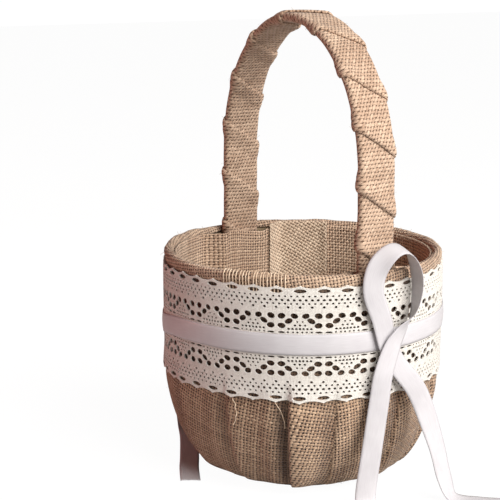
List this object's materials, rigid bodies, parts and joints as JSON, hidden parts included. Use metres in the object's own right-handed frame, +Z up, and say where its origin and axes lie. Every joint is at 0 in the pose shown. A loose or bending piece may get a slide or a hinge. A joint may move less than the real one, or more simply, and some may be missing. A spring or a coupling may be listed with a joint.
{
  "type": "flower girl basket",
  "caption": "Small round bowl basket dressed in burlap, with a wrapped arch handle, a lace band, a satin ribbon round its middle and a satin bow at each handle foot.",
  "frame": {"origin": "centre of the flat base, on the surface that the basket stands on", "axes": "+Z up. The arch handle lies in the XZ plane, with its front foot at +X and its back foot at -X. +Y is 90 degrees anticlockwise from +X seen from above."},
  "size_m": [0.237, 0.143, 0.2299],
  "materials": {
    "burlap": "coarse open plain weave, dry and hairy",
    "lining": "coarse open plain weave, dry and hairy",
    "bowl": "moulded, satin",
    "board": "pressed pulp board",
    "bent_strip": "planed",
    "lace": "matt cotton, perforated",
    "satin": "double-faced satin, soft sheen",
    "rivet": "plain",
    "glue": "set hot-melt glue"
  },
  "bodies": {
    "root": {"bowl_shell": "bowl", "base_board": "board", "base_cover": "burlap", "outer_cover": "burlap", "rim_binding": "burlap", "lining_wall": "lining", "lining_floor": "lining", "lining_overlap": "lining", "lace_band": "lace", "ribbon_band": "satin", "handle_core": "bent_strip", "handle_wrap": "burlap", "foot_rivet_front_lower": "rivet", "foot_rivet_front_upper": "rivet", "foot_rivet_back_lower": "rivet", "foot_rivet_back_upper": "rivet", "bow_front": "satin", "bow_back": "satin", "bow_glue_front": "glue", "bow_glue_back": "glue"}
  },
  "joints": []
}
